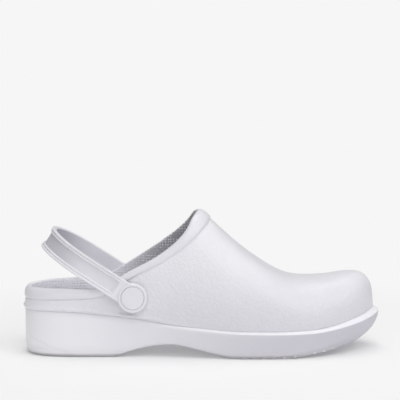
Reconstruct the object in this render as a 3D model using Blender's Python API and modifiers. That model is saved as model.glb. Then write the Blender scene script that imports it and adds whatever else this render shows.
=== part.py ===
"""Slip-on work clog for the right foot, moulded in soft foam, with a heel strap on two snap rivets.

Metres. +X points to the toe, +Z is up and the floor is Z = 0. The outer side of the foot is -Y.
The rows of both tables run from the back of the heel to the tip of the toe.
"""

import math

import bmesh
import bpy
import numpy as np
from mathutils import Vector
from mathutils.bvhtree import BVHTree

# Driving sizes of the shoe
LENGTH = 0.280             # heel to toe
BALL_WIDTH = 0.0985        # across the widest part of the foot
HEEL_HEIGHT = 0.036        # floor to the seam between sole and upper, at the heel
THROAT_HEIGHT = 0.1036     # floor to the crease under the bead, at the front of the opening
CLEARANCE = 0.0003         # between pieces that touch on the real shoe

# Upper
WALL = 0.0032
FLANGE = 0.0012            # how far the foot of the heel wall stands out
FLANGE_HEIGHT = 0.0030
BEAD_WIDTH = 0.0106        # rolled edge of the opening, at the throat
BEAD_BULGE = 0.0016
BEAD_CREASE = 0.0005

# Sole
LIP_REACH = 0.0045         # how far the sole stands out past the upper, at the toe
LIP_ROUND = 0.0010
PLUG_RISE = 0.0020         # raised floor inside the upper
TREAD_DEPTH = 0.0018
TREAD_GROOVE = 0.0022
TREAD_PITCH = 0.0075
TREAD_PAD = 0.028          # plain strip along the middle of the tread
TREAD_EDGE = 0.0012        # plain strip along the edge of the tread

# Insole
INSOLE_THICKNESS = 0.0040
INSOLE_PLAY = 0.0016       # between the insole's edge and the upper's wall
HEEL_CUP = 0.0025          # how far the insole's edge is turned up

# Heel strap and its rivets
STRAP_WIDTH = 0.0172
STRAP_THICKNESS = 0.0040
STRAP_RIB = 0.0042
STRAP_PANEL_DEPTH = 0.0012
STRAP_REACH = 0.077        # from the rivets to the back of the loop
STRAP_TILT = math.radians(33)
DISC_RADIUS = 0.0113
DISC_THICKNESS = 0.0046
RIVET_RISE = 0.0104        # from the heel's seam up to the rivet's axis
RIVET_HEIGHT = HEEL_HEIGHT + RIVET_RISE
RIVET_ALONG = 0.3125       # share of the length
CAP_RADIUS = 0.0087
CAP_THICKNESS = 0.0020
STEM_RADIUS = 0.0030
STEM_HOLE_DEPTH = 0.0128   # from the disc's face inward, through the wall
HEAD_RADIUS = 0.0065
HEAD_THICKNESS = 0.0016
SOFT_EDGE = 0.15           # rounding of the strap and its discs, as a share of their thickness

# Mesh steps
STEPS = 3                  # columns between two rows of STATIONS
THROAT_STEPS = 5           # columns of the last row before the throat, closer towards it
WALL_ROWS = 8
STRAP_STEPS = 22
BEAD_SMOOTHING = 4         # passes that even out the bead's direction round the opening
ROUND_SIDES = 20

# Each station is a column of the upper. It starts at its foot on the sole's outline and curves up
# to the crown, a line over the foot from heel to toe. Behind THROAT_ROW the opening cuts it short
# at the rim, which is the crease under the bead. Shares: along of LENGTH, lateral, medial and
# crown_side of BALL_WIDTH, crown_z and the rims of THROAT_HEIGHT, bead of BEAD_WIDTH. square is the
# exponent of the curve, and face how far it leans in as it curves, not as it rises.
STATION_COLUMNS = ("along", "lateral", "medial", "crown_along", "crown_side", "crown_z",
                   "lateral_rim", "medial_rim", "bead", "square", "face")
STATIONS = (
    (0.000, -0.010, -0.010, 0.160, -0.010, 0.598, 0.417, 0.417, 0.90, 2.60, 1.0),
    (0.016, -0.193, 0.173, 0.160, -0.010, 0.598, 0.417, 0.417, 0.90, 2.60, 1.0),
    (0.061, -0.315, 0.294, 0.162, -0.010, 0.600, 0.421, 0.421, 0.90, 2.60, 1.0),
    (0.136, -0.365, 0.345, 0.168, -0.010, 0.700, 0.430, 0.432, 0.82, 2.50, 0.6),
    (0.229, -0.379, 0.345, 0.190, -0.008, 0.950, 0.450, 0.475, 0.58, 2.30, 0.3),
    (0.329, -0.389, 0.345, 0.250, -0.005, 1.200, 0.580, 0.590, 0.54, 2.10, 0.0),
    (0.421, -0.414, 0.340, 0.320, 0.000, 1.330, 0.682, 0.715, 0.60, 1.95, 0.0),
    (0.507, -0.449, 0.360, 0.390, 0.004, 1.280, 0.790, 0.819, 0.74, 1.90, 0.0),
    (0.571, -0.477, 0.391, 0.455, 0.008, 1.165, 0.890, 0.909, 0.94, 1.95, 0.0),
    (0.629, -0.495, 0.437, 0.527, 0.014, 0.995, 0.995, 0.995, 1.15, 2.10, 0.0),
    (0.725, -0.497, 0.490, 0.614, 0.030, 0.764, 1.000, 1.000, 0.00, 2.30, 0.2),
    (0.811, -0.452, 0.503, 0.714, 0.050, 0.576, 1.000, 1.000, 0.00, 2.30, 0.5),
    (0.886, -0.355, 0.477, 0.814, 0.075, 0.552, 1.000, 1.000, 0.00, 2.60, 0.8),
    (0.943, -0.223, 0.411, 0.872, 0.090, 0.572, 1.000, 1.000, 0.00, 2.90, 1.0),
    (0.982, -0.066, 0.299, 0.902, 0.096, 0.580, 1.000, 1.000, 0.00, 2.90, 1.0),
    (1.000, 0.122, 0.122, 0.911, 0.097, 0.581, 1.000, 1.000, 0.00, 2.90, 1.0),
)
THROAT_ROW = 9

# The side of the shoe along its length. Shares: underside, seam, corner_rise and corner_reach of
# HEEL_HEIGHT, lip_rise, sole_inset and upper_inset of LIP_REACH, flange of FLANGE.
SIDE_COLUMNS = ("along", "underside", "seam", "lip_rise", "sole_inset", "upper_inset", "flange",
                "corner_rise", "corner_reach")
SIDE = (
    (0.000, 0.000, 0.980, 0.00, 0.33, 0.27, 1.0, 0.19, 0.09),
    (0.080, 0.000, 0.990, 0.00, 0.36, 0.27, 1.0, 0.16, 0.08),
    (0.160, 0.000, 0.972, 0.00, 0.50, 0.27, 1.0, 0.11, 0.06),
    (0.250, 0.000, 0.900, 0.00, 0.62, 0.27, 1.0, 0.08, 0.04),
    (0.300, 0.120, 0.858, 0.00, 0.62, 0.27, 1.0, 0.08, 0.04),
    (0.360, 0.242, 0.788, 0.00, 0.50, 0.29, 0.8, 0.08, 0.04),
    (0.415, 0.290, 0.705, 0.04, 0.27, 0.33, 0.4, 0.08, 0.04),
    (0.500, 0.160, 0.625, 0.09, 0.07, 0.42, 0.0, 0.08, 0.04),
    (0.560, 0.056, 0.582, 0.13, 0.00, 0.47, 0.0, 0.08, 0.05),
    (0.610, 0.000, 0.565, 0.16, 0.00, 0.51, 0.0, 0.08, 0.06),
    (0.720, 0.000, 0.552, 0.21, 0.00, 0.60, 0.0, 0.10, 0.07),
    (0.810, 0.085, 0.558, 0.29, 0.00, 0.71, 0.0, 0.15, 0.11),
    (0.880, 0.165, 0.628, 0.40, 0.00, 0.84, 0.0, 0.22, 0.17),
    (0.940, 0.240, 0.718, 0.53, 0.00, 0.93, 0.0, 0.30, 0.25),
    (1.000, 0.330, 0.845, 0.71, 0.00, 1.00, 0.0, 0.38, 0.34),
)


def column_places():
    """Where the mesh has its columns, counted in rows of STATIONS."""
    places = []
    for row in range(len(STATIONS) - 1):
        if row == THROAT_ROW - 1:
            places += [row + 1 - (1 - step / THROAT_STEPS) ** 2 for step in range(THROAT_STEPS)]
        else:
            places += [row + step / STEPS for step in range(STEPS)]
    return places + [len(STATIONS) - 1]


PLACES = column_places()
COLUMNS = len(PLACES) - 1
THROAT = PLACES.index(THROAT_ROW)


def spline(rows, places):
    """Points at places on a smooth curve from the second row to the last but one; the end rows guide."""
    points = []
    for place in places:
        row = min(int(place), len(rows) - 4)
        before, start, end, after = (np.array(values, dtype=float) for values in rows[row:row + 4])
        t = place - row
        points.append(start + 0.5 * t * (end - before)
                      + t * t * (before - 2.5 * start + 2 * end - 0.5 * after)
                      + t ** 3 * (1.5 * start - 0.5 * before - 1.5 * end + 0.5 * after))
    return np.array(points)


def side(name, x):
    """One column of SIDE at positions x from the heel, without overshoot between its rows."""
    rows = np.array(SIDE)
    along = rows[:, 0] * LENGTH
    value = rows[:, SIDE_COLUMNS.index(name)]
    slope = np.diff(value) / np.diff(along)
    bend = np.zeros(len(along))
    left, right = slope[:-1], slope[1:]
    steady = left * right > 0
    bend[1:-1][steady] = 2 * left[steady] * right[steady] / (left + right)[steady]
    bend[0], bend[-1] = slope[0], slope[-1]
    x = np.clip(x, 0, LENGTH)
    row = np.clip(np.searchsorted(along, x, side="right") - 1, 0, len(along) - 2)
    gap = (along[1:] - along[:-1])[row]
    t = (x - along[row]) / gap
    return (value[row] * (1 + 2 * t) * (1 - t) ** 2 + bend[row] * gap * t * (1 - t) ** 2
            + value[row + 1] * t * t * (3 - 2 * t) + bend[row + 1] * gap * t * t * (t - 1))


def station(name):
    """One column of STATIONS at every column of the mesh, from heel to toe."""
    values = [row[STATION_COLUMNS.index(name)] for row in STATIONS]
    return spline([values[1]] + values + [values[-2]], PLACES)


def rim(name):
    """Height of the opening's rim at the columns behind the throat, and of the crown before it."""
    behind = [row[STATION_COLUMNS.index(name)] for row in STATIONS[:THROAT_ROW + 1]]
    behind = spline([behind[1]] + behind + [2 * behind[-1] - behind[-2]], PLACES[:THROAT + 1])
    return THROAT_HEIGHT * np.concatenate([behind, station("crown_z")[THROAT + 1:]])


def picked(row, *names):
    """The named values of one row of STATIONS."""
    return [row[STATION_COLUMNS.index(name)] for name in names]


def ring(lateral, medial):
    """One closed ring, along the lateral side to the toe and back along the medial side."""
    return np.concatenate([lateral, medial[-2:0:-1]])


def outline():
    """The plan of the shoe as a ring of x, y points, with x from the back of the heel."""
    lateral = [picked(row, "along", "lateral") for row in STATIONS]
    medial = [picked(row, "along", "medial") for row in STATIONS]
    plan = ring(spline([medial[1]] + lateral + [medial[-2]], PLACES),
                spline([lateral[1]] + medial + [lateral[-2]], PLACES))
    return plan * (LENGTH, BALL_WIDTH)


def crown_line():
    """The line that every column curves to, as a ring of x, y, z points."""
    half = np.column_stack([station(name) for name in ("crown_along", "crown_side", "crown_z")])
    return ring(half, half) * (LENGTH, BALL_WIDTH, THROAT_HEIGHT)


OUTLINE = outline()
MIDDLE = (OUTLINE[:, 1].max() + OUTLINE[:, 1].min()) / 2


def inset(distance):
    """The shoe's plan moved inward by a distance for every column."""
    along = np.roll(OUTLINE, -1, axis=0) - np.roll(OUTLINE, 1, axis=0)
    along /= np.linalg.norm(along, axis=1)[:, None]
    inward = np.stack([-along[:, 1], along[:, 0]], axis=1)
    return OUTLINE + inward * np.reshape(distance, (-1, 1))


def level(distance, height):
    """A ring at an inset, with its height given by a function of x."""
    plan = inset(distance * np.ones(len(OUTLINE)))
    return np.column_stack([plan, height(plan[:, 0])])


def seam_height(x):
    return HEEL_HEIGHT * side("seam", x)


def ledge_height(x):
    """Where the upper stands, just inside the lip."""
    return seam_height(x) + LIP_REACH * side("lip_rise", x)


def outline_share(name):
    return side(name, OUTLINE[:, 0])


UPPER_INSET = LIP_REACH * outline_share("upper_inset")
SOLE_INSET = LIP_REACH * outline_share("sole_inset")
RIVET_X = LENGTH * (RIVET_ALONG - 0.5)


def placed(points):
    """Points with x from the heel, moved to the object's own frame."""
    return np.asarray(points) - (LENGTH / 2, MIDDLE, 0)


def add_ring(mesh, points):
    return [mesh.verts.new(point) for point in placed(points)]


def bridge(mesh, lower, upper):
    """Faces between two rings with the same number of points."""
    for index in range(len(lower)):
        after = (index + 1) % len(lower)
        mesh.faces.new((lower[index], lower[after], upper[after], upper[index]))


def lid(mesh, edge):
    """Close a ring with faces from its lateral side across to its medial side."""
    for index in range(len(edge) // 2):
        corners = [edge[index], edge[index + 1], edge[-index - 1], edge[-index]]
        mesh.faces.new(list(dict.fromkeys(corners)))


def add_object(name, mesh, collection):
    """A closed object from a bmesh, with doubled points merged and its faces turned outward."""
    bmesh.ops.remove_doubles(mesh, verts=mesh.verts, dist=1e-6)
    bmesh.ops.recalc_face_normals(mesh, faces=mesh.faces)
    data = bpy.data.meshes.new(name)
    mesh.to_mesh(data)
    mesh.free()
    made = bpy.data.objects.new(name, data)
    collection.objects.link(made)
    return made


def stacked(rings):
    """A closed solid from rings, with a lid on the first and on the last."""
    mesh = bmesh.new()
    rows = [add_ring(mesh, points) for points in rings]
    for lower, upper in zip(rows, rows[1:]):
        bridge(mesh, lower, upper)
    lid(mesh, rows[0])
    lid(mesh, rows[-1])
    return mesh


def cut(target, cutter, operation="DIFFERENCE"):
    """Join or cut a piece with another object, which then stays hidden."""
    modifier = target.modifiers.new(cutter.name, "BOOLEAN")
    modifier.operation = operation
    modifier.object = cutter
    modifier.solver = "EXACT"
    cutter.hide_render = True
    cutter.display_type = "WIRE"


def wall_surface():
    """Rings of the upper's outer wall without flange or bead, from the sole up to the rim."""
    foot = level(UPPER_INSET, lambda x: ledge_height(x) + CLEARANCE)
    reach = crown_line() - foot
    square, face = (ring(station(name), station(name)) for name in ("square", "face"))

    def angle_at(height):
        return np.arcsin(np.minimum(height / reach[:, 2], 1) ** (square / 2))

    start = angle_at(FLANGE_HEIGHT)
    end = angle_at(ring(rim("lateral_rim"), rim("medial_rim")) - foot[:, 2])
    angles = [0 * start, angle_at(FLANGE_HEIGHT / 2)]
    angles += [start + (end - start) * row / WALL_ROWS for row in range(WALL_ROWS + 1)]
    rings = []
    for angle in angles:
        rise = np.sin(angle) ** (2 / square)
        turn = 1 - np.cos(angle) ** (2 / square)
        forward = rise + (turn - rise) * face
        rings.append(foot + reach * np.column_stack([forward, turn, rise]))
    return np.array(rings)


def outward(rings):
    """The outward direction at every point, shared where two columns meet on the crown."""
    ahead = np.roll(rings, -1, axis=1)
    faces = np.cross(ahead[1:] - rings[:-1], rings[1:] - ahead[:-1])
    faces = faces + np.roll(faces, 1, axis=1)
    total = np.zeros_like(rings)
    total[1:] += faces
    total[:-1] += faces
    for index in range(THROAT, COLUMNS):
        shared = total[-1][index] + total[-1][-index]
        total[-1][index] = total[-1][-index] = shared
    total[0, :, 2] = 0
    return total / np.linalg.norm(total, axis=2)[:, :, None]


def bead_rings(crease, normal):
    """Rings of the rolled edge, from the crease outside over the top to the inner wall."""
    around = np.roll(crease, -1, axis=0) - np.roll(crease, 1, axis=0)
    for _ in range(BEAD_SMOOTHING):
        normal = np.roll(normal, 1, axis=0) + 2 * normal + np.roll(normal, -1, axis=0)
    normal = normal / np.linalg.norm(normal, axis=1)[:, None]
    up = np.cross(normal, around / np.linalg.norm(around, axis=1)[:, None])
    share = station("bead")[:THROAT + 1]
    width = BEAD_WIDTH * ring(share, share)
    out, into = -BEAD_BULGE, WALL
    section = ((0.10, 0.6 * out), (0.35, out), (0.68, 0.9 * out), (0.92, 0.2 * out),
               (1.00, 0.4 * into), (0.93, 0.8 * into), (0.70, into))
    return [crease + up * width[:, None] * rise - normal * depth for rise, depth in section]


def make_upper(collection):
    """Hollow wall from the sole's ledge to the bead round the opening."""
    rings = wall_surface()
    normal = outward(rings)
    inner = rings - WALL * normal
    flange = FLANGE * outline_share("flange")
    outer = rings.copy()
    outer[0] += 0.5 * flange[:, None] * normal[0]
    outer[1] += flange[:, None] * normal[0]
    last = 2 * COLUMNS
    opening = list(range(THROAT + 1)) + list(range(last - THROAT + 1, last))
    outer[-1][opening] -= BEAD_CREASE * normal[-1][opening]
    outer[-1][last - THROAT] = outer[-1][THROAT]

    mesh = bmesh.new()
    outside = [add_ring(mesh, points) for points in outer]
    inside = [add_ring(mesh, points) for points in inner]
    bead = [add_ring(mesh, points) for points in bead_rings(rings[-1][opening], normal[-1][opening])]
    bridge(mesh, inside[0], outside[0])
    for rows in (outside, inside):
        for lower, upper in zip(rows, rows[1:]):
            bridge(mesh, lower, upper)
    crease, lining = ([rows[-1][index] for index in opening] for rows in (outside, inside))
    rim = [crease] + bead + [lining]
    for lower, upper in zip(rim, rim[1:]):
        bridge(mesh, lower, upper)
    return add_object("upper", mesh, collection)


def make_sole(collection, cutters):
    """Sole with rounded lower corner, lip, ledge and a raised floor inside the upper."""
    reach = HEEL_HEIGHT * outline_share("corner_reach")
    rings = []
    for turn in (0, 30, 60, 90):
        angle = math.radians(turn)
        rings.append(level(SOLE_INSET + reach * (1 - math.sin(angle)),
                           lambda x: HEEL_HEIGHT * (side("underside", x)
                                                    + side("corner_rise", x) * (1 - math.cos(angle)))))
    plug = UPPER_INSET + WALL + CLEARANCE
    shelf = np.minimum(np.maximum(UPPER_INSET - CLEARANCE, SOLE_INSET + 1.5 * LIP_ROUND), plug)
    rings.append(level(SOLE_INSET, lambda x: seam_height(x) - LIP_ROUND))
    rings.append(level(SOLE_INSET + LIP_ROUND, seam_height))
    rings.append(level(shelf, ledge_height))
    rings.append(level(plug, ledge_height))
    rings.append(level(plug + CLEARANCE, lambda x: ledge_height(x) + PLUG_RISE))
    sole = add_object("sole", stacked(rings), collection)
    cut(sole, make_tread(cutters))
    return sole


def make_tread(collection):
    """Cutter for the cross grooves on both sides of the tread's plain middle strip."""
    mesh = bmesh.new()
    flat = inset(SOLE_INSET + HEEL_HEIGHT * outline_share("corner_reach") + TREAD_EDGE)
    halves = ((-1, flat[:COLUMNS + 1]), (1, flat[:COLUMNS - 1:-1]))
    places = np.arange(TREAD_PITCH, LENGTH - TREAD_PITCH, TREAD_PITCH)
    treads = [x for x in places if x < 0.24 * LENGTH or 0.60 * LENGTH < x < 0.94 * LENGTH]
    for x in treads:
        top = HEEL_HEIGHT * side("underside", np.array([x]))[0] + TREAD_DEPTH
        for direction, edge in halves:
            near = direction * TREAD_PAD / 2
            far = np.interp(x, edge[:, 0], edge[:, 1]) - MIDDLE
            if direction * (far - near) > TREAD_PITCH:
                size = (TREAD_GROOVE, abs(far - near), top + TREAD_DEPTH)
                centre = (x - LENGTH / 2, (near + far) / 2, (top - TREAD_DEPTH) / 2)
                add_box(mesh, centre, size)
    return add_object("tread_grooves", mesh, collection)


def add_box(mesh, centre, size):
    box = bmesh.ops.create_cube(mesh, size=1)["verts"]
    bmesh.ops.scale(mesh, verts=box, vec=size)
    bmesh.ops.translate(mesh, verts=box, vec=centre)


def make_insole(collection):
    """Footbed with a turned-up edge, lying on the sole's raised floor."""
    def floor(x):
        return ledge_height(x) + PLUG_RISE + CLEARANCE

    edge = UPPER_INSET + WALL + INSOLE_PLAY
    rings = [
        level(edge + 0.3 * INSOLE_THICKNESS, floor),
        level(edge, lambda x: floor(x) + 0.5 * INSOLE_THICKNESS),
        level(edge + 0.2 * INSOLE_THICKNESS, lambda x: floor(x) + INSOLE_THICKNESS + HEEL_CUP),
        level(edge + 0.6 * INSOLE_THICKNESS, lambda x: floor(x) + INSOLE_THICKNESS + 0.8 * HEEL_CUP),
        level(edge + 2.2 * INSOLE_THICKNESS, lambda x: floor(x) + INSOLE_THICKNESS),
    ]
    return add_object("insole", stacked(rings), collection)


def wall_faces(upper, direction):
    """Outermost y of the upper under the strap's disc and leg, and innermost y under the head."""
    tree = BVHTree.FromPolygons([vertex.co for vertex in upper.data.vertices],
                                [face.vertices for face in upper.data.polygons])

    def hits(spots, start, heading):
        rays = [tree.ray_cast(Vector((x, start, z)), Vector((0, heading, 0)))[0] for x, z in spots]
        return [hit.y * direction for hit in rays if hit]

    def around(radius):
        turns = [math.tau * step / ROUND_SIDES for step in range(ROUND_SIDES)]
        return [(RIVET_X + share * radius * math.cos(turn), RIVET_HEIGHT + share * radius * math.sin(turn))
                for turn in turns for share in (0, 0.5, 1)]

    leg = [(RIVET_X - reach * math.cos(STRAP_TILT) + across * math.sin(STRAP_TILT),
            RIVET_HEIGHT + reach * math.sin(STRAP_TILT) + across * math.cos(STRAP_TILT))
           for reach in np.linspace(0, 0.6 * STRAP_REACH, ROUND_SIDES)
           for across in np.linspace(-STRAP_WIDTH / 2, STRAP_WIDTH / 2, 9)]
    outside = max(hits(around(DISC_RADIUS) + leg, direction * BALL_WIDTH, -direction))
    inside = min(hits(around(HEAD_RADIUS), 0, direction))
    return outside, inside


def on_axis(made, direction):
    """Place a piece on the rivets' axis, with its own +Z pointing out of the shoe."""
    made.location = (RIVET_X, 0, RIVET_HEIGHT)
    made.rotation_euler = (-direction * math.pi / 2, 0, 0)
    return made


def turned(name, profile, direction, collection):
    """Turned piece on the rivets' axis, from radius and distance pairs, outermost end first."""
    mesh = bmesh.new()
    points = [mesh.verts.new((radius, 0, distance)) for radius, distance in profile]
    for start, end in zip(points, points[1:]):
        mesh.edges.new((start, end))
    data = bpy.data.meshes.new(name)
    mesh.to_mesh(data)
    mesh.free()
    made = on_axis(bpy.data.objects.new(name, data), direction)
    collection.objects.link(made)
    screw = made.modifiers.new("turn", "SCREW")
    screw.steps = ROUND_SIDES
    screw.render_steps = ROUND_SIDES
    screw.use_merge_vertices = True
    screw.merge_threshold = 0.00001
    return made


def cylinder(name, radius, near, far, direction, collection):
    """Plain cylinder on the rivets' axis between two distances from the middle plane."""
    mesh = bmesh.new()
    bmesh.ops.create_cone(mesh, cap_ends=True, segments=ROUND_SIDES, radius1=radius, radius2=radius,
                          depth=far - near)
    bmesh.ops.translate(mesh, verts=mesh.verts, vec=(0, 0, (near + far) / 2))
    return on_axis(add_object(name, mesh, collection), direction)


def make_rivet(name, direction, outside, inside, collection):
    """Snap rivet: cap in the strap's disc, stem through the wall and head inside the upper."""
    seat = outside + 2 * CLEARANCE + DISC_THICKNESS - CAP_THICKNESS
    head = inside - CLEARANCE
    profile = ((0, seat + CAP_THICKNESS), (0.7 * CAP_RADIUS, seat + CAP_THICKNESS),
               (0.93 * CAP_RADIUS, seat + 0.8 * CAP_THICKNESS), (CAP_RADIUS, seat + 0.4 * CAP_THICKNESS),
               (CAP_RADIUS, seat), (STEM_RADIUS, seat), (STEM_RADIUS, head), (HEAD_RADIUS, head),
               (HEAD_RADIUS, head - 0.6 * HEAD_THICKNESS), (0.7 * HEAD_RADIUS, head - HEAD_THICKNESS),
               (0, head - HEAD_THICKNESS))
    return turned(name, profile, direction, collection)


def strap_section(fill):
    """Outline of the band as width and thickness pairs; fill raises the panel to the ribs."""
    half = STRAP_WIDTH / 2
    panel = STRAP_THICKNESS - STRAP_PANEL_DEPTH * (1 - fill)
    soft = SOFT_EDGE * STRAP_THICKNESS
    return ((-half, 0), (half, 0), (half, STRAP_THICKNESS - soft), (half - soft, STRAP_THICKNESS),
            (half - STRAP_RIB + soft, STRAP_THICKNESS), (half - STRAP_RIB, panel),
            (STRAP_RIB - half, panel), (STRAP_RIB - half - soft, STRAP_THICKNESS),
            (soft - half, STRAP_THICKNESS), (-half, STRAP_THICKNESS - soft))


def strap_path(lateral, medial):
    """Inner face of the band: distance from the rivets' axis, y, and the outward direction."""
    half = (lateral + medial) / 2
    centre = (medial - lateral) / 2
    straight = STRAP_REACH - half
    quarter = STRAP_STEPS // 2
    points = [(0, -half, 0, -1), (0.9 * DISC_RADIUS, -half, 0, -1), (1.5 * DISC_RADIUS, -half, 0, -1)]
    for step in range(STRAP_STEPS + 1):
        turn = math.pi * (step - quarter) / STRAP_STEPS
        points.append((straight + half * math.cos(turn), half * math.sin(turn),
                       math.cos(turn), math.sin(turn)))
    points += [(reach, half, 0, 1) for reach, _, _, _ in reversed(points[:3])]
    return [(reach, y + centre, out, away) for reach, y, out, away in points]


def make_strap(lateral, medial, collection, cutters):
    """Band round the back of the heel, with a disc for the rivet at each end."""
    mesh = bmesh.new()
    rows = []
    for reach, y, out, away in strap_path(lateral, medial):
        fill = 1 if reach < 1.4 * DISC_RADIUS else 0
        rows.append([mesh.verts.new((-reach - out * depth, y + away * depth, across))
                     for across, depth in strap_section(fill)])
    for lower, upper in zip(rows, rows[1:]):
        bridge(mesh, lower, upper)
    mesh.faces.new(rows[0])
    mesh.faces.new(rows[-1])
    strap = add_object("heel_strap", mesh, collection)
    strap.location = (RIVET_X, 0, RIVET_HEIGHT)
    strap.rotation_euler = (0, STRAP_TILT, 0)
    soft = SOFT_EDGE * DISC_THICKNESS
    for name, direction, face in (("outer", -1, lateral), ("inner", 1, medial)):
        rim = face + DISC_THICKNESS
        disc = ((0, rim), (DISC_RADIUS - soft, rim), (DISC_RADIUS, rim - soft), (DISC_RADIUS, face),
                (0, face))
        cut(strap, turned(name + "_disc", disc, direction, cutters), "UNION")
        cut(strap, cylinder(name + "_seat", CAP_RADIUS + CLEARANCE, rim - CAP_THICKNESS, rim + CAP_THICKNESS,
                            direction, cutters))
        cut(strap, stem_hole(name + "_strap_hole", direction, face, cutters))
    return strap


def stem_hole(name, direction, face, collection):
    bore = STEM_RADIUS + CLEARANCE
    far = face + 2 * DISC_THICKNESS
    return cylinder(name, bore, face - STEM_HOLE_DEPTH, far, direction, collection)


def material(name, colour, roughness):
    made = bpy.data.materials.new(name)
    made.use_nodes = True
    shader = made.node_tree.nodes["Principled BSDF"]
    shader.inputs["Base Color"].default_value = (*colour, 1)
    shader.inputs["Roughness"].default_value = roughness
    return made


def finish(piece, colour, roughness):
    piece.data.materials.append(material(piece.name + "_finish", colour, roughness))
    piece.data.shade_smooth()
    piece.data.set_sharp_from_angle(angle=math.radians(40))


def main():
    for old in list(bpy.data.objects):
        bpy.data.objects.remove(old)
    parts = bpy.data.collections.new("chef_clog")
    cutters = bpy.data.collections.new("cutters")
    for collection in (parts, cutters):
        bpy.context.scene.collection.children.link(collection)

    sole = make_sole(parts, cutters)
    upper = make_upper(parts)
    insole = make_insole(parts)
    lateral_out, lateral_in = wall_faces(upper, -1)
    medial_out, medial_in = wall_faces(upper, 1)
    rivet_outer = make_rivet("rivet_outer", -1, lateral_out, lateral_in, parts)
    rivet_inner = make_rivet("rivet_inner", 1, medial_out, medial_in, parts)
    strap = make_strap(lateral_out + CLEARANCE, medial_out + CLEARANCE, parts, cutters)
    cut(upper, stem_hole("outer_hole", -1, lateral_out, cutters))
    cut(upper, stem_hole("inner_hole", 1, medial_out, cutters))

    finish(sole, (0.86, 0.87, 0.89), 0.6)
    finish(upper, (0.90, 0.91, 0.93), 0.55)
    finish(insole, (0.84, 0.85, 0.88), 0.8)
    finish(strap, (0.90, 0.91, 0.93), 0.5)
    finish(rivet_outer, (0.92, 0.93, 0.95), 0.4)
    finish(rivet_inner, (0.92, 0.93, 0.95), 0.4)


main()
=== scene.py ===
"""Looks of a white foam work clog, right foot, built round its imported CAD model.

Metres, in the row frame: +X to the toe, +Z up, the outer side of the foot at -Y.
"""

import math
from collections import namedtuple

import bmesh
import bpy
import numpy as np
from mathutils import Matrix, Quaternion, Vector


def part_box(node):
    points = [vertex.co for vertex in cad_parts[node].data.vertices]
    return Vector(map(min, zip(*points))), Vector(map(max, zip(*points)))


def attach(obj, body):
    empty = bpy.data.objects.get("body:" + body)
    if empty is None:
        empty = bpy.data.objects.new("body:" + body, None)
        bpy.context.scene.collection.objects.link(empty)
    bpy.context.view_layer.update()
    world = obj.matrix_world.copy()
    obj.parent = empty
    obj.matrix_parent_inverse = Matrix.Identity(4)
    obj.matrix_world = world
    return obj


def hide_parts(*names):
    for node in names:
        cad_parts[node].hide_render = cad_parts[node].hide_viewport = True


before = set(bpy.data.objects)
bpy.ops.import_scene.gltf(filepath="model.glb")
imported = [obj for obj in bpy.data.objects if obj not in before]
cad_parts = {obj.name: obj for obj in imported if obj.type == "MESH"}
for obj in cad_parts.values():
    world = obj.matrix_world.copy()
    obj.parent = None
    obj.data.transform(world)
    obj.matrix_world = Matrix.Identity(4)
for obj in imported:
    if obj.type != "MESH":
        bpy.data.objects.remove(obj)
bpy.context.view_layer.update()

# Camera, from the photograph's viewing angle
FRAME_PIXELS = 400
SENSOR = 36.0              # mm
FOCAL_PIXELS = 1588.75
TARGET = Vector((0, 0, 0.04))
TARGET_PIXEL = (201.75, 298.0)
DISTANCE = 1.25
AZIMUTH = math.radians(-0.25)
ELEVATION = math.radians(8.75)
ROLL = math.radians(-0.375)

# Stage and light
FLOOR_RADIUS = 0.42
BACKDROP_RADIUS = 3.0
WALL_HEIGHT = 1.3
SHADOW_RADIUS = 0.20       # the floor fades into the backdrop outside this
FLOOR_DROP = 0.0002        # keeps the floor clear of the tread
FLOOR_GLOW = 0.18          # share of even light in the floor, which softens the shadow
FLOOR_TONE = 0.945
FLOOR_ROUGHNESS = 0.9
BACKDROP = 0.9216          # radiance of the plain background
SKY = 0.42
STAGE_STEPS = 96           # sides of the round floor
LAMP_DISTANCE = 4.0
LAMP_SIZE = 2.6
# Name, turn to the camera's left and rise above the floor in degrees, power in watts
LAMPS = (
    ("top", 180, 75, 36),
    ("key", -14, 62, 31),
    ("front", -8, 36, 18),
    ("low", 12, 12, 19),
    ("left", 110, 30, 2),
    ("right", -60, 40, 27),
)

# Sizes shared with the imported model
RIVET = Vector((-0.0525, 0, 0.0464))
STRAP_TILT = math.radians(33)
STRAP_REACH = 0.077        # from the rivets to the back of the loop
STRAP_HALF = 0.0086        # half the band's width
STRAP_THICKNESS = 0.0040
DISC_RADIUS = 0.0113
DISC_THICKNESS = 0.0046
CAP_RADIUS = 0.0087
CAP_THICKNESS = 0.0020
SEAT_RADIUS = 0.0090       # recess of the cap in its disc
HEAD_RADIUS = 0.0065
HEAD_THICKNESS = 0.0016
STEM_RADIUS = 0.0030

# Strap: edges, ribs and panel
CORNER = 0.0003            # rounding of the ribs
CORNER_SHARE = 0.45        # the largest share of a side that it takes
INNER_BEVEL = 0.0006       # bevel of the band's inner edges
OUTER_BEVEL = 0.0005
RIB_OUTER = 0.0081         # half widths of the rib's top, its step and the panel
RIB_INNER = 0.0073
STEP_OUTER = 0.0068
STEP_INNER = 0.0062
LINE_OUTER = 0.0058
LINE_INNER = 0.0053
PANEL_EDGE = 0.0046
STEP_DEPTH = 0.0009
LINE_DEPTH = 0.0004
PANEL_DEPTH = 0.0017
PANEL_HALF = 0.0048        # half the width that has the panel's painted shade
INSIDE_HALF = STRAP_HALF - 0.0007   # the same on the band's inner face
PANEL_START = 0.0145       # distance from the rivets where that painted shade starts
RIBS_START = 0.0180        # distance where the ribs are at their full height
RIBS_RISE = 0.0035         # length over which they rise from the flat end
ARC_STEPS = 72             # steps round the loop
LEG_STEP = 0.0012          # length of a step along a leg
LEG_END = 0.001            # keeps a leg's last step clear of the loop

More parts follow.
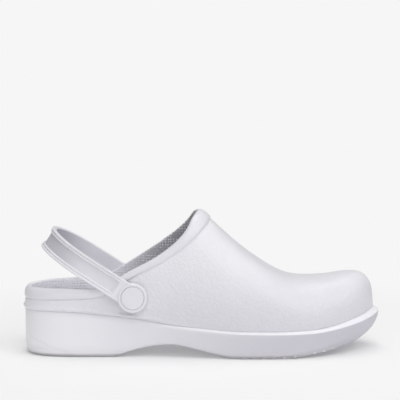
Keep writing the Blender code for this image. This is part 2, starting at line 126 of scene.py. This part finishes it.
# Discs and rivets
TURNS = 64                 # steps round a disc
DISC_SOFT = 0.0010
SEAT_BEVEL = 0.0004
CAP_SOFT = 0.0006
CAP_CROWN = ((0.0, 0.0), (0.5, 0.00005), (0.8, 0.00015), (1.0, 0.00025))   # share of radius, fall
CAP_EDGE = 0.0012          # depth at which the cap fills its seat
CAP_SPREAD = 0.0002        # how much wider than its seat the cap's foot is
HEAD_CROWN = 0.0006
HEAD_TOP = 0.8             # flat share of the head's radius
DRILL_LENGTH = 0.2

# Mesh
SHARP = math.radians(38)   # edges that stay crisp
SUBDIVISIONS = 2
WELD = 1e-6                # distance under which points are joined
JOIN_FACES = math.radians(60)
JOIN_SHAPES = math.radians(90)
UPPER_HOLD = 0.5           # crease of the crisp edges
SOLE_HOLD = 0.6
INSOLE_HOLD = 0.3
BEAD_CREASE = math.radians(16)
INWARD = 0.35              # cosine past which a face at the opening belongs to the lining
THROAT_FRONT = 0.010       # in front of this the foot's space is closed over
SPACE_END = 0.10           # half the length of the line that inward faces look at
SPACE_DROP = 0.004         # how far that line lies below a face
FOOT_TOP = 0.045           # the upper's lower edge lies below this
FOOT_DROP = 0.0004         # closes the hairline between upper and sole
FACING_DOWN = -0.9
SOLE_TUCK = 0.0018         # how far the forefoot's lower edge is drawn in
TUCK_START = -0.02         # the tuck grows from here towards the toe
TUCK_LENGTH = 0.06
TUCK_TOP = 0.017           # height where the tuck ends
TUCK_RISE = 0.010
SIDE_LEAST = 0.3           # least horizontal part of a normal on the sole's side
SIDE_UPWARD = 0.5          # and the upward part that it stays under
SPRING_START = 0.06        # in front of this the tuck climbs with the toe
SPRING_SLOPE = 0.10
TREAD_TOP = 0.02
TREAD_FACING = -0.93

# Grain of the moulded foam
NOISE_DETAIL = 3.0         # octaves of a noise
FINE_DETAIL = 4.0          # octaves of the worn gloss and the soil
PEBBLE = 0.0021
PEBBLE_WARP = 1.2          # how far the pebbles are pushed out of their cells, in cells
GRAIN = 0.0005
UNEVEN = 0.014
UNEVEN_HEIGHT = 0.00020
TONE_PATCH = 0.045
TONE_NOISE = (0.35, 0.65)  # noise over which one tone turns into the other
GLOSS_PATCH = 0.02
GLOSS_NOISE = (0.3, 0.7)
GLOSS_SPREAD = 0.05        # roughness varies by this either way
CREASE_CELL = (0.35, 0.95)   # distance from a pebble's middle, in cells, over which painted shade darkens it
CREASE_SHADE_TONE = 0.93         # share of the darker tone left in the grain's creases, as painted shade
CREASE_SHARE = 250         # how fast taller pebbles deepen that tone, for each metre
COAT_ROUGHNESS = 0.42
NUB = 0.0022
NUB_CELL = (0.15, 0.55)    # distance from a nub's middle, in cells, over which it falls
NUB_PATCH = 0.03
NUB_NOISE = (0.3, 0.7)
NUB_SPREAD = 0.2           # largest share of the dark tone on top of a nub
NUB_GRAIN = 0.00005
NUB_RANDOM = 0.35          # how uneven the rows of nubs are
NUB_WARP = 0.3
NUB_ROUGHNESS = 0.7
NUB_SPECULAR = 0.3
PIT_SHADE = 0.5             # share of the deep tone left between the nubs, as more painted shade in the pits

# Foam: light tone, dark tone, roughness, height of pebbles, height of grain, coat
FOAMS = {
    "upper_foam": ((0.875, 0.867, 0.915), (0.855, 0.847, 0.895), 0.42, 0.00034, 0.00008, 0.5),
    "sole_foam": ((0.905, 0.897, 0.94), (0.89, 0.882, 0.925), 0.46, 0.00006, 0.00006, 0.2),
    "strap_foam": ((0.83, 0.822, 0.87), (0.81, 0.802, 0.85), 0.40, 0.00002, 0.00003, 0.3),
    # the strap's foam darkened as painted shade, for its sunk panel and the band's inner face
    "panel_shade_foam": ((0.78, 0.772, 0.83), (0.76, 0.752, 0.81), 0.40, 0.00002, 0.00003, 0.3),
}
# Dark tones of the nubbed foams: painted shade between the nubs, and a little random tone on them
LINING_LIGHT = (0.96, 0.95, 0.98)
LINING_DARK = (0.90, 0.89, 0.94)
# painted shade deep inside the shoe, towards the throat
LINING_DEEP_SHADE = (0.80, 0.79, 0.85)
LINING_NUB = 0.0004
BED_LIGHT = (0.92, 0.91, 0.95)
BED_DARK = (0.70, 0.69, 0.74)
BED_NUB = 0.00050

# Zones of tone, all painted shade apart from the soil: each pair is where the change starts and ends along
# X or Z
# painted shade low on the upper where it meets the sole, fading out towards the back of the heel
UPPER_LOW_SHADE = (0.72, 0.71, 0.765)
UPPER_LOW_SHADE_Z = (0.018, 0.078)
UPPER_LOW_SHADE_X = (-0.14, -0.05)
# where the lining's painted shade grows, towards the throat
LINING_DEEP_SHADE_X = (-0.085, -0.015)
# painted shade on the back of the strap's loop
PANEL_BACK_SHADE = (0.56, 0.55, 0.61)
PANEL_BACK_SHADE_X = (-0.088, -0.118)
# painted shade on the sole's sides, darker towards the forefoot
SOLE_FORE_SHADE = (0.60, 0.59, 0.65)
SOLE_FORE_SHADE_X = (-0.13, 0.11)
SOLE_UPWARD = (0.0, 0.40)  # normals that lose the forefoot's painted shade
SOLE_SOIL = (0.66, 0.645, 0.66)
SOIL_Z = (0.0005, 0.010)
SOIL_LEAST = 0.25
SOIL_STREAK = (0.030, 0.030, 0.0018)
SOIL_NOISE = (0.52, 0.75)
# painted contact shadow on the sole's lowest few millimetres
SOLE_CONTACT_SHADE = (0.36, 0.355, 0.37)
CONTACT_SHADE_Z = (0.0008, 0.0035)
CONTACT_SHADE_SHARE = 0.8

# Moulding line at the back of the heel: a small step across a slanting plane
MOULD_SLANT = (0.347, 0.938)
MOULD_PLACE = (-0.0330, -0.0320)
MOULD_STEP = -0.00022

Skin = namedtuple("Skin", "material tree shader colour relief")


def add(tree, kind, inputs=(), **settings):
    """A shader node with its settings, and values or links for its named inputs."""
    made = tree.nodes.new(kind)
    for name, value in settings.items():
        setattr(made, name, value)
    for name, value in dict(inputs).items():
        if isinstance(value, bpy.types.NodeSocket):
            tree.links.new(value, made.inputs[name])
        else:
            made.inputs[name].default_value = value
    return made


def place(tree, scale):
    """Object coordinates in cells of a size in metres, one size or one for each axis."""
    coordinates = add(tree, "ShaderNodeTexCoord").outputs["Object"]
    sizes = scale if isinstance(scale, tuple) else (scale, scale, scale)
    counts = tuple(1 / size for size in sizes)
    return add(tree, "ShaderNodeVectorMath", {0: coordinates, 1: counts}, operation="MULTIPLY").outputs[0]


def maths(tree, operation, *values):
    return add(tree, "ShaderNodeMath", dict(enumerate(values)), operation=operation).outputs[0]


def ramp(tree, value, start, end, low=0.0, high=1.0):
    """A value between start and end carried smoothly to low and high."""
    inputs = {"Value": value, "From Min": start, "From Max": end, "To Min": low, "To Max": high}
    return add(tree, "ShaderNodeMapRange", inputs, interpolation_type="SMOOTHSTEP").outputs["Result"]


def noise(tree, size, detail=NOISE_DETAIL):
    inputs = {"Vector": place(tree, size), "Scale": 1.0, "Detail": detail}
    return add(tree, "ShaderNodeTexNoise", inputs).outputs["Fac"]


def mixed(tree, factor, start, end):
    """A colour between two colours, each a link or three numbers."""
    mix = add(tree, "ShaderNodeMix", {"Factor": factor}, data_type="RGBA")
    for socket, colour in ((mix.inputs[6], start), (mix.inputs[7], end)):
        if isinstance(colour, bpy.types.NodeSocket):
            tree.links.new(colour, socket)
        else:
            socket.default_value = (*colour, 1)
    return mix.outputs[2]


def cells(tree, size, randomness, warp):
    """Distance from the centre of each cell of a skin of bumps, in cells."""
    spot = place(tree, size)
    drift = add(tree, "ShaderNodeTexNoise", {"Vector": spot, "Scale": 0.5, "Detail": 2.0}).outputs["Color"]
    shift = add(tree, "ShaderNodeVectorMath", {0: drift, "Scale": warp}, operation="SCALE").outputs[0]
    moved = add(tree, "ShaderNodeVectorMath", {0: spot, 1: shift}).outputs[0]
    inputs = {"Vector": moved, "Scale": 1.0, "Randomness": randomness}
    return add(tree, "ShaderNodeTexVoronoi", inputs, feature="F1").outputs["Distance"]


def new_material(name):
    made = bpy.data.materials.new(name)
    made.use_nodes = True
    return made, made.node_tree, made.node_tree.nodes["Principled BSDF"]


def spot_of(tree):
    """The X, Y and Z of a point in metres."""
    coordinates = add(tree, "ShaderNodeTexCoord").outputs["Object"]
    return add(tree, "ShaderNodeSeparateXYZ", {"Vector": coordinates}).outputs


def bumped(tree, shader, height):
    """Relief from a height in metres."""
    bump = add(tree, "ShaderNodeBump", {"Height": height, "Strength": 1.0, "Distance": 1.0})
    tree.links.new(bump.outputs["Normal"], shader.inputs["Normal"])


def skin_relief(tree, pebble, grain):
    """Height of the pebbled skin: cells, a finer grain on them and a slow unevenness, in metres."""
    cell = cells(tree, PEBBLE, 1.0, PEBBLE_WARP)
    high = maths(tree, "MULTIPLY", cell, -pebble)
    fine = maths(tree, "MULTIPLY", noise(tree, GRAIN, 2.0), grain)
    slow = maths(tree, "MULTIPLY", noise(tree, UNEVEN, 1.0), UNEVEN_HEIGHT)
    return cell, maths(tree, "ADD", maths(tree, "ADD", high, fine), slow)


def foam(name):
    """Satin moulded foam: two close tones, with painted shade in the creases of its grain, and a worn
    gloss.
    """
    light, dark, roughness, pebble, grain, coat = FOAMS[name]
    made, tree, shader = new_material(name)
    cell, relief = skin_relief(tree, pebble, grain)
    tone = mixed(tree, ramp(tree, noise(tree, TONE_PATCH), *TONE_NOISE), dark, light)
    # painted shade in the grain's creases, deeper where the pebbles are taller
    shade = maths(tree, "MULTIPLY", ramp(tree, cell, *CREASE_CELL), min(1.0, CREASE_SHARE * pebble))
    colour = mixed(tree, shade, tone, tuple(CREASE_SHADE_TONE * value for value in dark))
    worn = noise(tree, GLOSS_PATCH, FINE_DETAIL)
    gloss = ramp(tree, worn, *GLOSS_NOISE, roughness - GLOSS_SPREAD, roughness + GLOSS_SPREAD)
    tree.links.new(colour, shader.inputs["Base Color"])
    tree.links.new(gloss, shader.inputs["Roughness"])
    shader.inputs["Specular IOR Level"].default_value = 0.5
    shader.inputs["Coat Weight"].default_value = coat
    shader.inputs["Coat Roughness"].default_value = COAT_ROUGHNESS
    bumped(tree, shader, relief)
    return Skin(made, tree, shader, colour, relief)


def with_painted_shade(skin, factor, tone):
    """A foam's material, with its colour carried to a tone of painted shade by a factor."""
    skin.tree.links.new(mixed(skin.tree, factor, skin.colour, tone), skin.shader.inputs["Base Color"])
    return skin.material


def upper_material():
    """Pebbled foam of the upper, with painted shade low down in front of the heel, where it meets the sole.
    """
    skin = foam("upper_foam")
    spot = spot_of(skin.tree)
    low = ramp(skin.tree, spot["Z"], *UPPER_LOW_SHADE_Z, 1.0, 0.0)
    fore = ramp(skin.tree, spot["X"], *UPPER_LOW_SHADE_X)
    return with_painted_shade(skin, maths(skin.tree, "MULTIPLY", low, fore), UPPER_LOW_SHADE)


def panel_shade_material():
    """Foam of the strap's sunk panel with painted shade, darker still towards the back of the loop as more
    painted shade.
    """
    skin = foam("panel_shade_foam")
    return with_painted_shade(skin, ramp(skin.tree, spot_of(skin.tree)["X"], *PANEL_BACK_SHADE_X), PANEL_BACK_SHADE)


def sole_material():
    """Sole foam with painted shade on its sides towards the forefoot, soiled, with a painted contact shadow
    at the ground, and the heel's moulding line.
    """
    skin = foam("sole_foam")
    tree = skin.tree
    spot = spot_of(tree)
    # painted shade on the sides, growing towards the forefoot, left off faces turned up
    forward = ramp(tree, spot["X"], *SOLE_FORE_SHADE_X)
    normal = add(tree, "ShaderNodeNewGeometry").outputs["Normal"]
    facing = add(tree, "ShaderNodeSeparateXYZ", {"Vector": normal}).outputs
    upright = ramp(tree, facing["Z"], *SOLE_UPWARD, 1.0, 0.0)
    greyer = mixed(tree, maths(tree, "MULTIPLY", forward, upright), skin.colour, SOLE_FORE_SHADE)
    streak = maths(tree, "ADD", SOIL_LEAST, ramp(tree, noise(tree, SOIL_STREAK, FINE_DETAIL), *SOIL_NOISE))
    low = ramp(tree, spot["Z"], *SOIL_Z, 1.0, 0.0)
    soiled = mixed(tree, maths(tree, "MULTIPLY", streak, low), greyer, SOLE_SOIL)
    # painted contact shadow at the ground
    tread = ramp(tree, spot["Z"], *CONTACT_SHADE_Z, CONTACT_SHADE_SHARE, 0.0)
    line = maths(tree, "ADD", maths(tree, "MULTIPLY", spot["X"], MOULD_SLANT[0]),
                 maths(tree, "MULTIPLY", spot["Z"], MOULD_SLANT[1]))
    step = ramp(tree, line, *MOULD_PLACE, MOULD_STEP, 0.0)
    tree.links.new(mixed(tree, tread, soiled, SOLE_CONTACT_SHADE), skin.shader.inputs["Base Color"])
    bumped(tree, skin.shader, maths(tree, "ADD", skin.relief, step))
    return skin.material


def nubbed(name, light, dark, height, deep=None):
    """Matt foam with rows of small round nubs, with painted shade between them; deep is a tone of painted
    shade on it towards the toe.
    """
    made, tree, shader = new_material(name)
    cell = cells(tree, NUB, NUB_RANDOM, NUB_WARP)
    nub = ramp(tree, cell, *NUB_CELL, 1.0, 0.0)
    tone = mixed(tree, ramp(tree, noise(tree, NUB_PATCH), *NUB_NOISE, 0.0, NUB_SPREAD), light, dark)
    # painted shade between the nubs
    colour = mixed(tree, nub, dark, tone)
    # painted shade deep inside, growing towards the toe
    if deep:
        inside = ramp(tree, spot_of(tree)["X"], *LINING_DEEP_SHADE_X)
        shaded = mixed(tree, nub, tuple(PIT_SHADE * value for value in deep), deep)
        colour = mixed(tree, inside, colour, shaded)
    tree.links.new(colour, shader.inputs["Base Color"])
    shader.inputs["Roughness"].default_value = NUB_ROUGHNESS
    shader.inputs["Specular IOR Level"].default_value = NUB_SPECULAR
    fine = maths(tree, "MULTIPLY", noise(tree, GRAIN, 2.0), NUB_GRAIN)
    bumped(tree, shader, maths(tree, "ADD", maths(tree, "MULTIPLY", nub, height), fine))
    return made


def loose(name, mesh, *materials):
    """A bare object from a bmesh."""
    data = bpy.data.meshes.new(name)
    mesh.to_mesh(data)
    mesh.free()
    for material in materials:
        data.materials.append(material)
    made = bpy.data.objects.new(name, data)
    bpy.context.scene.collection.objects.link(made)
    return made


def piece(name, mesh, node, slot, *materials):
    """A smooth-shaded object from a bmesh, which rides on the shoe and stands for a CAD node."""
    made = loose(name, mesh, *materials)
    made.data.shade_smooth()
    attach(made, "root")
    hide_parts(node)
    return made


def staged(name, mesh, material):
    made = loose(name, mesh, material)
    return made


def cleaned(node):
    """A CAD node's mesh with its flat pairs of triangles joined to quads."""
    mesh = bmesh.new()
    mesh.from_mesh(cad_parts[node].data)
    bmesh.ops.remove_doubles(mesh, verts=mesh.verts, dist=WELD)
    bmesh.ops.join_triangles(mesh, faces=mesh.faces, angle_face_threshold=JOIN_FACES,
                             angle_shape_threshold=JOIN_SHAPES, topology_influence=1.0)
    mesh.normal_update()
    return mesh


def refined(made):
    """Finer mesh for display, crisp only where the piece has a real edge."""
    fine = made.modifiers.new("fine", "SUBSURF")
    fine.levels = SUBDIVISIONS
    fine.render_levels = SUBDIVISIONS


def creased_edges(mesh, hold):
    """Hold the mesh's sharp edges, and give the layer that holds them."""
    crease = mesh.edges.layers.float.new("crease_edge")
    for edge in mesh.edges:
        if len(edge.link_faces) == 2 and edge.calc_face_angle() > SHARP:
            edge[crease] = hold
    return crease


def share(value, length):
    """A length as a share of another, kept between 0 and 1."""
    return min(max(value / length, 0), 1)


def faces_inward(face):
    """True for a face that looks at the foot's space."""
    centre = face.calc_center_median()
    middle = Vector((min(max(centre.x, -SPACE_END), SPACE_END), 0.0, centre.z - SPACE_DROP))
    least = INWARD if centre.x < THROAT_FRONT else 0.0
    return face.normal.dot((middle - centre).normalized()) > least


def bead_faces(mesh):
    """Faces of the rolled edge: all that the highest one reaches without crossing a crease."""
    found = {max(mesh.faces, key=lambda face: face.calc_center_median().z)}
    stack = list(found)
    while stack:
        for edge in stack.pop().edges:
            if edge.calc_face_angle_signed() > -BEAD_CREASE:
                fresh = [face for face in edge.link_faces if face not in found and not faces_inward(face)]
                found.update(fresh)
                stack += fresh
    return found


def make_upper():
    """The upper, with its lining inside and smoother foam on its bead."""
    mesh = cleaned("upper")
    creased_edges(mesh, UPPER_HOLD)
    bead = bead_faces(mesh)
    foot = {face for face in mesh.faces
            if face.normal.z < FACING_DOWN and face.calc_center_median().z < FOOT_TOP}
    for face in mesh.faces:
        if face in bead:
            face.material_index = 2
        elif faces_inward(face) and face not in foot:
            face.material_index = 1
    for vertex in {vertex for face in foot for vertex in face.verts}:
        vertex.co.z -= FOOT_DROP
    refined(piece("upper_skin", mesh, "upper", "upper", upper_foam, lining, strap_foam))


def make_sole():
    """The sole, its forefoot drawn in towards the ground and its tread held crisp."""
    mesh = cleaned("sole")
    for vertex in mesh.verts:
        flat = Vector((vertex.normal.x, vertex.normal.y, 0))
        forward = share(vertex.co.x - TUCK_START, TUCK_LENGTH)
        top = TUCK_TOP + SPRING_SLOPE * max(vertex.co.x - SPRING_START, 0)
        below = share(top - vertex.co.z, TUCK_RISE)
        if flat.length > SIDE_LEAST and vertex.normal.z < SIDE_UPWARD:
            vertex.co -= SOLE_TUCK * forward * below * flat.normalized()
    crease = creased_edges(mesh, SOLE_HOLD)
    for face in mesh.faces:
        if face.normal.z < TREAD_FACING and face.calc_center_median().z < TREAD_TOP:
            for edge in face.edges:
                edge[crease] = 1.0
                edge.smooth = False
    refined(piece("sole_skin", mesh, "sole", "sole", sole_foam))


def make_insole():
    mesh = cleaned("insole")
    creased_edges(mesh, INSOLE_HOLD)
    refined(piece("insole_skin", mesh, "insole", "insole", bed_foam))


def lathe(mesh, profile, direction, middle=Vector()):
    """A closed turned form on the rivets' axis, from radius and distance pairs."""
    rows = []
    for radius, distance in profile:
        turns = [math.tau * step / TURNS for step in range(TURNS if radius else 1)]
        rows.append([mesh.verts.new(middle + Vector((radius * math.cos(turn), direction * distance,
                                                     radius * math.sin(turn)))) for turn in turns])
    for near, far in zip(rows, rows[1:]):
        for step in range(TURNS):
            corners = [near[step % len(near)], near[(step + 1) % len(near)],
                       far[(step + 1) % len(far)], far[step % len(far)]]
            mesh.faces.new(list(dict.fromkeys(corners)))
    bmesh.ops.recalc_face_normals(mesh, faces=mesh.faces)


def rounded(radius, distance, soft):
    """Four points round an outer corner of a turned form, from its face to its side."""
    return [(radius - soft * (1 - math.sin(turn)), distance - soft * (1 - math.cos(turn)))
            for turn in (0, math.pi / 6, math.pi / 3, math.pi / 2)]


def make_rivet(node, direction):
    """Cap with a soft edge that fills its seat, stem and head."""
    low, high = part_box(node)
    near, far = (-low.y, -high.y) if direction < 0 else (high.y, low.y)
    foot = SEAT_RADIUS + CAP_SPREAD
    profile = [(part * CAP_RADIUS, near - fall) for part, fall in CAP_CROWN[:-1]]
    profile += rounded(CAP_RADIUS, near - CAP_CROWN[-1][1], CAP_SOFT)
    profile += [(foot, near - CAP_EDGE), (foot, near - CAP_THICKNESS),
                (STEM_RADIUS, near - CAP_THICKNESS), (STEM_RADIUS, far + HEAD_THICKNESS),
                (HEAD_RADIUS, far + HEAD_THICKNESS), (HEAD_RADIUS, far + HEAD_CROWN),
                (HEAD_TOP * HEAD_RADIUS, far), (0, far)]
    mesh = bmesh.new()
    lathe(mesh, profile, direction, RIVET)
    piece(node + "_skin", mesh, node, "rivet", strap_foam)


def softened(corners, radius):
    """A closed outline with three points for each corner."""
    points = []
    for index, corner in enumerate(corners):
        corner = Vector(corner)
        sides = [Vector(corners[index - 1]) - corner, Vector(corners[(index + 1) % len(corners)]) - corner]
        near, far = (corner + side.normalized() * min(radius, CORNER_SHARE * side.length)
                     for side in sides)
        points += [near, (near + 2 * corner + far) / 4, far]
    return points


def strap_section(fill):
    """Outline of the band as width and thickness pairs: two ribs with a step, and the panel between.

    A fill of 1 levels the ribs and the panel, as at the band's ends.
    """
    top = STRAP_THICKNESS
    half = [(STRAP_HALF - INNER_BEVEL, 0.0), (STRAP_HALF, INNER_BEVEL), (STRAP_HALF, top - OUTER_BEVEL),
            (RIB_OUTER, top)]
    ribs = [(RIB_INNER, top), (STEP_OUTER, top - STEP_DEPTH), (STEP_INNER, top - STEP_DEPTH),
            (LINE_OUTER, top - LINE_DEPTH), (LINE_INNER, top - LINE_DEPTH), (PANEL_EDGE, top - PANEL_DEPTH)]
    half += [(across, depth + fill * (top - depth)) for across, depth in ribs]
    return softened(half + [(-across, depth) for across, depth in reversed(half)], CORNER)


def strap_path(lateral, medial):
    """Inner face of the band: distance from the rivets' axis, y, and the outward direction."""
    half = (lateral + medial) / 2
    centre = (medial - lateral) / 2
    straight = STRAP_REACH - half
    leg = [(reach, -half, 0, -1) for reach in np.arange(0, straight - LEG_END, LEG_STEP)]
    turns = [math.pi * (step / ARC_STEPS - 0.5) for step in range(ARC_STEPS + 1)]
    arc = [(straight + half * math.cos(turn), half * math.sin(turn), math.cos(turn), math.sin(turn))
           for turn in turns]
    back = [(reach, half, 0, 1) for reach, _, _, _ in reversed(leg)]
    return [(reach, y + centre, out, away) for reach, y, out, away in leg + arc + back]


def strap_band(lateral, medial):
    """The band as one closed loft along its path."""
    mesh = bmesh.new()
    rows = []
    for reach, y, out, away in strap_path(lateral, medial):
        section = strap_section(share(RIBS_START - reach, RIBS_RISE))
        rows.append([mesh.verts.new((-reach - out * depth, y + away * depth, across))
                     for across, depth in section])
    for low, high in zip(rows, rows[1:]):
        for index in range(len(low)):
            after = (index + 1) % len(low)
            mesh.faces.new((low[index], low[after], high[after], high[index]))
    mesh.faces.new(rows[0])
    mesh.faces.new(rows[-1])
    bmesh.ops.recalc_face_normals(mesh, faces=mesh.faces)
    return mesh


def evaluated(made):
    """An object's mesh with its modifiers applied, after which the object goes."""
    graph = bpy.context.evaluated_depsgraph_get()
    data = bpy.data.meshes.new_from_object(made.evaluated_get(graph))
    bpy.data.objects.remove(made)
    return data


def drilled(band):
    """The band's mesh with the caps' seats cut through both of its ends."""
    mesh = bmesh.new()
    bmesh.ops.create_cone(mesh, cap_ends=True, segments=TURNS, radius1=SEAT_RADIUS,
                          radius2=SEAT_RADIUS, depth=DRILL_LENGTH)
    bmesh.ops.rotate(mesh, verts=mesh.verts, matrix=Quaternion((1, 0, 0), math.pi / 2).to_matrix())
    drill = loose("drill", mesh)
    hole = band.modifiers.new("hole", "BOOLEAN")
    hole.operation = "DIFFERENCE"
    hole.object = drill
    hole.solver = "EXACT"
    mesh = bmesh.new()
    mesh.from_mesh(evaluated(band))
    bpy.data.objects.remove(drill)
    return mesh


def make_strap():
    """Band with its ribs, and a turned disc with the cap's seat at each end."""
    low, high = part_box("heel_strap")
    lateral, medial = -low.y - DISC_THICKNESS, high.y - DISC_THICKNESS
    mesh = drilled(loose("band", strap_band(lateral, medial)))
    for direction, face in ((-1, lateral), (1, medial)):
        rim = face + DISC_THICKNESS
        profile = [(0, face), (DISC_RADIUS, face)] + rounded(DISC_RADIUS, rim, DISC_SOFT)[::-1]
        profile += [(SEAT_RADIUS + SEAT_BEVEL, rim), (SEAT_RADIUS, rim - SEAT_BEVEL),
                    (SEAT_RADIUS, rim - CAP_THICKNESS), (0, rim - CAP_THICKNESS)]
        lathe(mesh, profile, direction)
    # faces of the sunk panel and of the band's inner face take the painted shade
    for face in mesh.faces:
        centre = face.calc_center_median()
        away = centre - Vector((-0.5 * STRAP_REACH, 0, 0))
        half = PANEL_HALF if face.normal.dot(away) > 0 else INSIDE_HALF
        if abs(centre.z) < half and centre.x < -PANEL_START:
            face.material_index = 1
    mesh.transform(Matrix.Translation(RIVET) @ Matrix.Rotation(STRAP_TILT, 4, "Y"))
    made = piece("strap_skin", mesh, "heel_strap", "strap", strap_foam, panel_shade_foam)
    made.data.set_sharp_from_angle(angle=SHARP)


def make_floor():
    """A round floor that takes the shoe's shadow and fades into the backdrop's tone."""
    made, tree, shader = new_material("floor")
    shader.inputs["Base Color"].default_value = (FLOOR_TONE, FLOOR_TONE, FLOOR_TONE, 1)
    shader.inputs["Roughness"].default_value = FLOOR_ROUGHNESS
    shader.inputs["Specular IOR Level"].default_value = 0.0
    glow = add(tree, "ShaderNodeEmission", {"Color": (1, 1, 1, 1), "Strength": BACKDROP})
    coordinates = add(tree, "ShaderNodeTexCoord").outputs["Object"]
    distance = add(tree, "ShaderNodeVectorMath", {0: coordinates}, operation="LENGTH").outputs["Value"]
    fade = ramp(tree, distance, SHADOW_RADIUS, FLOOR_RADIUS, FLOOR_GLOW, 1.0)
    mix = add(tree, "ShaderNodeMixShader", {0: fade, 1: shader.outputs[0], 2: glow.outputs[0]})
    tree.links.new(mix.outputs[0], tree.nodes["Material Output"].inputs["Surface"])
    mesh = bmesh.new()
    bmesh.ops.create_circle(mesh, cap_ends=True, segments=STAGE_STEPS, radius=FLOOR_RADIUS)
    bmesh.ops.translate(mesh, verts=mesh.verts, vec=(0, 0, -FLOOR_DROP))
    staged("floor", mesh, made)


def make_backdrop():
    """The even surface round the floor and behind it, which doesn't light the shoe."""
    made, tree, _ = new_material("backdrop")
    glow = add(tree, "ShaderNodeEmission", {"Color": (1, 1, 1, 1), "Strength": BACKDROP})
    tree.links.new(glow.outputs[0], tree.nodes["Material Output"].inputs["Surface"])
    mesh = bmesh.new()
    turns = [math.tau * step / STAGE_STEPS for step in range(STAGE_STEPS)]
    rings = ((FLOOR_RADIUS, -FLOOR_DROP), (BACKDROP_RADIUS, -FLOOR_DROP), (BACKDROP_RADIUS, WALL_HEIGHT))
    rows = [[mesh.verts.new((radius * math.cos(turn), radius * math.sin(turn), height)) for turn in turns]
            for radius, height in rings]
    for low, high in zip(rows, rows[1:]):
        for step in range(STAGE_STEPS):
            after = (step + 1) % STAGE_STEPS
            mesh.faces.new((low[step], low[after], high[after], high[step]))
    surface = staged("backdrop", mesh, made)
    surface.visible_diffuse = False
    surface.visible_glossy = False


def make_world():
    world = bpy.data.worlds.new("studio")
    bpy.context.scene.world = world
    world.use_nodes = True
    background = world.node_tree.nodes["Background"]
    background.inputs["Color"].default_value = (1, 1, 1, 1)
    background.inputs["Strength"].default_value = SKY


def softbox(name, turn, rise, power):
    """A round softbox aimed at the shoe."""
    turn, rise = math.radians(turn), math.radians(rise)
    data = bpy.data.lights.new(name, "AREA")
    data.shape = "DISK"
    data.size = LAMP_SIZE
    data.energy = power
    made = bpy.data.objects.new(name, data)
    bpy.context.scene.collection.objects.link(made)
    away = Vector((-math.sin(turn) * math.cos(rise), -math.cos(turn) * math.cos(rise), math.sin(rise)))
    made.location = TARGET + LAMP_DISTANCE * away
    made.rotation_euler = away.to_track_quat("Z", "Y").to_euler()


def make_camera():
    """The photograph's camera, aimed above the shoe as the photograph is framed."""
    forward = Vector((math.sin(AZIMUTH) * math.cos(ELEVATION), math.cos(AZIMUTH) * math.cos(ELEVATION),
                      -math.sin(ELEVATION)))
    data = bpy.data.cameras.new("camera")
    data.sensor_width = SENSOR
    data.lens = FOCAL_PIXELS * SENSOR / FRAME_PIXELS
    made = bpy.data.objects.new("camera", data)
    bpy.context.scene.collection.objects.link(made)
    made.location = TARGET - DISTANCE * forward
    across = math.atan((TARGET_PIXEL[0] - FRAME_PIXELS / 2) / FOCAL_PIXELS)
    below = math.atan((TARGET_PIXEL[1] - FRAME_PIXELS / 2) / FOCAL_PIXELS)
    aim = forward.to_track_quat("-Z", "Y")
    turn = Quaternion((0, 0, 1), ROLL) @ Quaternion((1, 0, 0), below) @ Quaternion((0, 1, 0), across)
    made.rotation_euler = (aim @ turn).to_euler()
    bpy.context.scene.camera = made


strap_foam = foam("strap_foam").material
panel_shade_foam = panel_shade_material()
lining = nubbed("lining", LINING_LIGHT, LINING_DARK, LINING_NUB, LINING_DEEP_SHADE)
bed_foam = nubbed("bed_foam", BED_LIGHT, BED_DARK, BED_NUB)
upper_foam = upper_material()
sole_foam = sole_material()
make_upper()
make_sole()
make_insole()
make_strap()
make_rivet("rivet_outer", -1)
make_rivet("rivet_inner", 1)
make_floor()
make_backdrop()
make_world()
for lamp in LAMPS:
    softbox(*lamp)
bpy.context.scene.view_settings.view_transform = "Standard"
make_camera()
